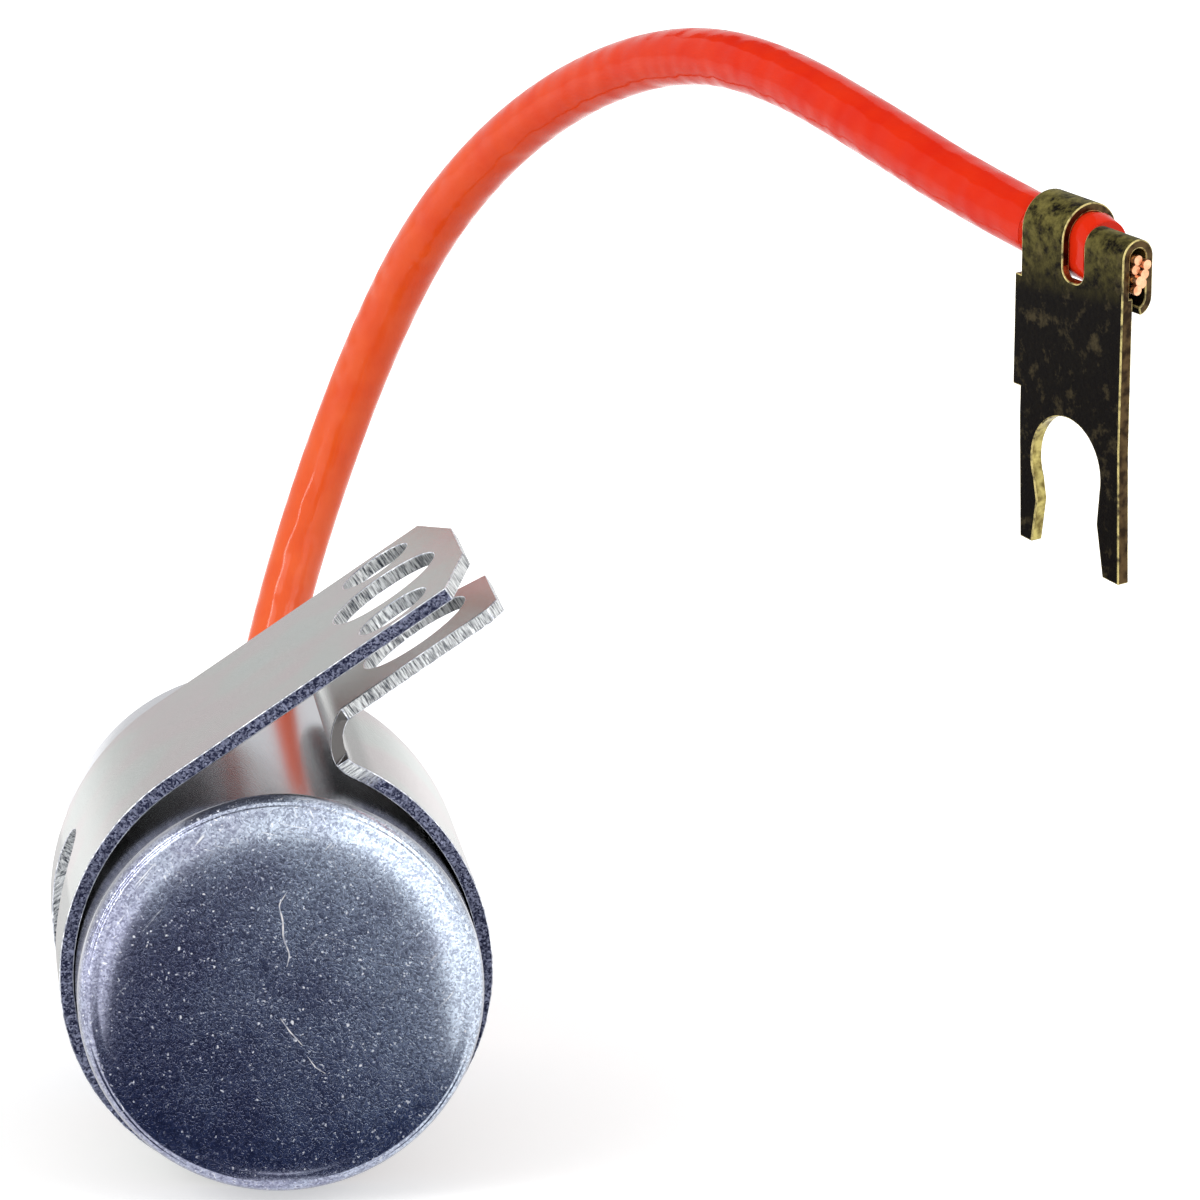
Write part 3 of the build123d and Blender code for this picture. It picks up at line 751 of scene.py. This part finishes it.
# %% Make the fork's materials
aged, tree, shader = new_material("aged brass")
point = millimetres(tree)
crystals = use_group(tree, grain, {"Point": point, "Size": 0.13})
smudge = remap(tree, noise(tree, point, 1.1, 4.0, 0.7), 0.54, 0.70)
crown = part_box("fork_terminal")[1][2] / MM
place = add_node(tree, "SeparateXYZ", {"Vector": point}).outputs
handled = remap(tree, place["Z"], crown - 4.5, crown - 0.5, 0.0, 0.6)
dark = blend(tree, crystals["Shade"], (0.004, 0.003, 0.003), (0.010, 0.008, 0.005))
dark = blend(tree, maths(tree, "MULTIPLY", smudge, 0.6), dark, (0.09, 0.07, 0.035))
patches = remap(tree, noise(tree, point, 1.6, 4.0, 0.7), 0.36, 0.62)
dark = blend(tree, maths(tree, "MULTIPLY", handled, patches), dark, (0.34, 0.29, 0.08))
cut = stored(tree, "cut")
streaks = remap(tree, noise(tree, point, 2.2, 3.0), 0.38, 0.62)
gold = blend(tree, streaks, (0.17, 0.13, 0.04), (0.52, 0.44, 0.15))
side = blend(tree, streaks, (0.022, 0.013, 0.007), (0.08, 0.05, 0.022))
gold = blend(tree, stored(tree, "slot"), side, gold)
put(tree, blend(tree, cut, dark, gold), shader, "Base Color")
put(tree, remap(tree, cut, 0.0, 1.0, 0.5, 0.3), shader, "Roughness")
put(tree, remap(tree, cut, 0.0, 1.0, 0.2, 0.9), shader, "Metallic")
put(tree, bump(tree, noise(tree, point, 4.0, 4.0), 0.02 * MM, 0.7), shader, "Normal")
shader.inputs["Specular IOR Level"].default_value = 0.03

shiny, tree, shader = new_material("rubbed brass rim", Metallic=0.3)
streaks = remap(tree, noise(tree, millimetres(tree), 2.4, 3.0), 0.34, 0.55)
put(tree, blend(tree, streaks, (0.07, 0.05, 0.015), (0.66, 0.54, 0.20)), shader, "Base Color")
put(tree, remap(tree, streaks, 0.0, 1.0, 0.5, 0.28), shader, "Roughness")
fork.data.materials.append(aged)
fork.data.materials.append(shiny)
print("materials:", aged.name, "and", shiny.name)

# %% [markdown]
# ## Finish of the lead
# The lead's tube is soft glossy plastic. It is painted paler orange and made shinier near the can, and
# redder and less shiny towards the fork: painted glare. It isn't quite smooth: the strands inside press
# through a little, so its highlight wavers. A low, wide bump does that.

# %% Make the lead's material
orange, tree, shader = new_material("orange lead plastic", IOR=1.46)
point = millimetres(tree)
uneven = remap(tree, noise(tree, point, 0.5, 3.0), 0.3, 0.7)
across = add_node(tree, "SeparateXYZ", {"Vector": point}).outputs["X"]
# Painted glare: the tube is paler and shinier near the can, and fades to plain red towards the fork.
painted_glare_falloff = remap(tree, across, -4.0, 16.0)
deep = blend(tree, painted_glare_falloff, (0.86, 0.098, 0.015), (0.73, 0.020, 0.004))
pale = blend(tree, painted_glare_falloff, (0.92, 0.138, 0.026), (0.79, 0.033, 0.007))
put(tree, blend(tree, uneven, deep, pale), shader, "Base Color")
put(tree, remap(tree, uneven, 0.0, 1.0, 0.17, 0.1), shader, "Roughness")
put(tree, remap(tree, painted_glare_falloff, 0.0, 1.0, 0.36, 0.1), shader, "Specular IOR Level")
put(tree, bump(tree, noise(tree, point, 0.9, 0.0), 0.16 * MM, 0.6), shader, "Normal")
lead_curve.materials.append(orange)
crimped_end.data.materials.append(orange)
print("material:", orange.name)

# %% [markdown]
# ## Finishes of the small and hidden pieces
# Copper strands show in the fork's crimp, black rubber at the can's far end. Inside the can there are a
# spring, sprayed contact layers, the roll of foil and film, waxed paper and a hard paper disc. Nobody
# sees those until the can is cut open, and each still gets a finish of its own: one pattern, two
# colours, and how metallic and rough it is.

# %% Make the small pieces' materials
def two_tone(name, first, second, scale, stretch=(1, 1, 1), metallic=0.0, rough=(0.4, 0.6), lift=0.01):
    """A finish that wanders between two colours, with a bump of the same pattern."""
    material, tree, shader = new_material(name, Metallic=metallic)
    drawn = add_node(tree, "VectorMath", {0: millimetres(tree), 1: stretch}, operation="MULTIPLY")
    pattern = remap(tree, noise(tree, drawn.outputs[0], scale, 3.0, 0.6), 0.35, 0.65)
    put(tree, blend(tree, pattern, first, second), shader, "Base Color")
    put(tree, remap(tree, pattern, 0.0, 1.0, *rough), shader, "Roughness")
    put(tree, bump(tree, pattern, lift * MM), shader, "Normal")
    return material


lengthwise = (1, 0.06, 1)
copper = two_tone(
    "bright copper", (0.62, 0.27, 0.14), (0.90, 0.50, 0.30), 2.5, lengthwise, 1.0, (0.25, 0.4)
)
rubber = two_tone("black rubber", (0.010, 0.010, 0.011), (0.022, 0.022, 0.023), 1.4, rough=(0.62, 0.8))
spring = two_tone("drawn spring steel", (0.34, 0.35, 0.37), (0.50, 0.50, 0.52), 3.0, metallic=1.0)
sprayed = two_tone("sprayed metal", (0.45, 0.45, 0.45), (0.62, 0.62, 0.61), 5.0, metallic=0.7, lift=0.04)
roll = two_tone("foil and film roll", (0.55, 0.53, 0.46), (0.74, 0.72, 0.64), 6.0, (1, 0.05, 1), 0.6)
paper = two_tone("waxed paper", (0.42, 0.31, 0.17), (0.56, 0.43, 0.26), 1.8, rough=(0.45, 0.6), lift=0.02)
hard_paper = two_tone("brown hard paper", (0.13, 0.055, 0.022), (0.22, 0.10, 0.045), 2.4, (1, 3, 1))
tinned = two_tone(
    "tinned metal", (0.60, 0.60, 0.58), (0.76, 0.76, 0.74), 1.5, metallic=1.0, rough=(0.2, 0.4)
)
seal.data.materials.append(rubber)

finish_of_slot = {
    "strand_copper": copper,
    "spring_steel": spring,
    "sprayed_metal": sprayed,
    "foil_roll": roll,
    "liner_paper": paper,
    "hard_paper": hard_paper,
    "tinned_plate": tinned,
}
replaced = {"can_shell", "mounting_strap", "fork_terminal", "rubber_seal"}
replaced |= {"lead_insulation", "lead_crimped_end"}
for subpart in frame["record"]["subparts"]:
    if subpart["node"] not in replaced:
        mesh = frame["nodes"][subpart["node"]].data
        mesh.materials.clear()
        mesh.materials.append(finish_of_slot[subpart["material_slot"]])

# %% [markdown]
# ## The studio
# The part lies on a plain white table. For anything that looks at the world directly or in a mirror,
# the surroundings are plain white, which a Light Path node does. For the light that falls on the part
# they are a quarter dimmer, and soft lamps make up the rest, so that a colour comes out about as it is
# written. The floor is white card that keeps the part's shadow, and fades to plain white further off.

# %% Light the room
def choose_for_eyes(tree):
    """1 for rays that look, straight or by way of metal or glass, and 0 for rays that light."""
    path = add_node(tree, "LightPath").outputs
    mirror = maths(tree, "MAXIMUM", path["Is Glossy Ray"], path["Is Transmission Ray"])
    return maths(tree, "MAXIMUM", path["Is Camera Ray"], mirror)


world = bpy.data.worlds.new("white room")
world.use_nodes = True
bpy.context.scene.world = world
tree = world.node_tree
background = tree.nodes["Background"]
background.inputs["Color"].default_value = (1, 1, 1, 1)
room_light = 0.74
put(tree, remap(tree, choose_for_eyes(tree), 0.0, 1.0, room_light, 1.0), background, "Strength")


def soft_lamp(name, direction, distance, width, height, brightness):
    """A flat lamp that faces the can. Its power is brightness * pi * area."""
    data = bpy.data.lights.new(name, "AREA")
    data.shape = "RECTANGLE"
    data.size, data.size_y = width, height
    data.energy = brightness * pi * width * height
    lamp = bpy.data.objects.new(name, data)
    toward = Vector(direction).normalized()
    lamp.location = Vector(can_end) + toward * distance
    lamp.rotation_euler = toward.to_track_quat("Z", "Y").to_euler()
    bpy.context.scene.collection.objects.link(lamp)


soft_lamp("right_lamp", (0.62, -0.65, 0.5), distance=0.5, width=0.24, height=0.24, brightness=2.4)
soft_lamp("left_lamp", (-0.55, -0.6, 0.6), distance=0.5, width=0.2, height=0.2, brightness=2.0)
soft_lamp("left_strip", (-0.74, -0.46, 0.4), distance=0.42, width=0.03, height=0.36, brightness=14.0)
print("lamps:", len(bpy.data.lights))

# %% Lay the table
def flat_sheet(name, xs, ys, height):
    """A level grid of points at the given height."""
    x, y = np.meshgrid(xs, ys, indexing="ij")
    points = np.stack([x, y, np.full(x.shape, height)], axis=-1).reshape(-1, 3)
    row, column = np.meshgrid(np.arange(len(xs) - 1), np.arange(len(ys) - 1), indexing="ij")
    first = row * len(ys) + column
    corners = [first, first + len(ys), first + len(ys) + 1, first + 1]
    mesh = bpy.data.meshes.new(name)
    mesh.from_pydata(points.tolist(), [], np.stack(corners, axis=-1).reshape(-1, 4).tolist())
    sheet = bpy.data.objects.new(name, mesh)
    bpy.context.scene.collection.objects.link(sheet)
    return sheet


table_height = cad_box[0][2]
shadow_ends = (0.05, 0.16)  # metres from the can: whole up to the first, gone from the second
near_glow = 0.42
spread = np.linspace(-2.0, 2.0, 9)
table = flat_sheet("table", spread, spread, table_height)
card, tree, shader = new_material("white table", Roughness=1.0)
shader.inputs["Base Color"].default_value = (0.8, 0.8, 0.8, 1)
shader.inputs["Specular IOR Level"].default_value = 0.0
shader.inputs["Emission Color"].default_value = (1, 1, 1, 1)
place = add_node(tree, "TexCoord").outputs["Object"]
from_part = add_node(tree, "VectorMath", {0: place, 1: tuple(can_end)}, operation="SUBTRACT")
distance = add_node(tree, "VectorMath", {0: from_part.outputs[0]}, operation="LENGTH").outputs["Value"]
far_off = remap(tree, distance, *shadow_ends)
glow = maths(tree, "MULTIPLY", choose_for_eyes(tree), remap(tree, far_off, 0.0, 1.0, near_glow, 1.0))
put(tree, glow, shader, "Emission Strength")
table.data.materials.append(card)
print("table at", round(table_height, 4))

# %% [markdown]
# ## Sheets for the metal to see
# Metal looks like metal by what it mirrors. In an all-white room the can's flat end would be a blank
# white disc. So a dark blue mat lies in front of the part, a dark sheet hangs high over its left side
# and a bright card stands to the right, as photographers do. Only mirror rays see them, so they throw
# no shadow, and nothing but what shines shows them.

# %% Set up the mirrored sheets
def mirrored_sheet(name, corners, colour):
    """A flat sheet, with its corners in turn, that is seen in metal alone."""
    mesh = bpy.data.meshes.new(name)
    mesh.from_pydata([tuple(corner) for corner in corners], [], [tuple(range(len(corners)))])
    sheet = bpy.data.objects.new(name, mesh)
    bpy.context.scene.collection.objects.link(sheet)
    sheet.visible_camera = False
    sheet.visible_diffuse = False
    sheet.visible_transmission = False
    sheet.visible_shadow = False
    material, tree, shader = new_material(name, Roughness=1.0)
    shader.inputs["Base Color"].default_value = (0, 0, 0, 1)
    shader.inputs["Specular IOR Level"].default_value = 0.0
    shader.inputs["Emission Color"].default_value = (*colour, 1)
    shader.inputs["Emission Strength"].default_value = 1.0
    mesh.materials.append(material)


mat_height = table_height + 0.0004
mat_outline = [  # sideways from the can's middle, and along
    (-0.018, -0.0138),
    (-0.020, -0.050),
    (-0.095, -0.600),
    (0.150, -0.600),
    (0.017, -0.050),
    (0.017, -0.0138),
]
mat_corners = [(can_end[0] + side, along, mat_height) for side, along in mat_outline]
mirrored_sheet("dark_mat", mat_corners, (0.030, 0.043, 0.098))
sheet_height = 0.22
mirrored_sheet("dark_sheet_overhead", [
    (-0.16, -0.10, sheet_height),
    (-0.16, 0.35, sheet_height),
    (0.03, 0.35, sheet_height),
    (0.03, -0.10, sheet_height),
], (0.10, 0.105, 0.13))
# The bright card glows brighter than the white room: a painted reflection, seen only in what shines.
card_y = -0.38
mirrored_sheet("bright_card", [
    (0.07, card_y, -0.02),
    (0.30, card_y, -0.02),
    (0.30, card_y, 0.20),
    (0.07, card_y, 0.20),
], (1.9, 1.95, 2.0))
print("sheets laid out")

# %% Show colours as they are written
bpy.context.scene.view_settings.view_transform = "Standard"
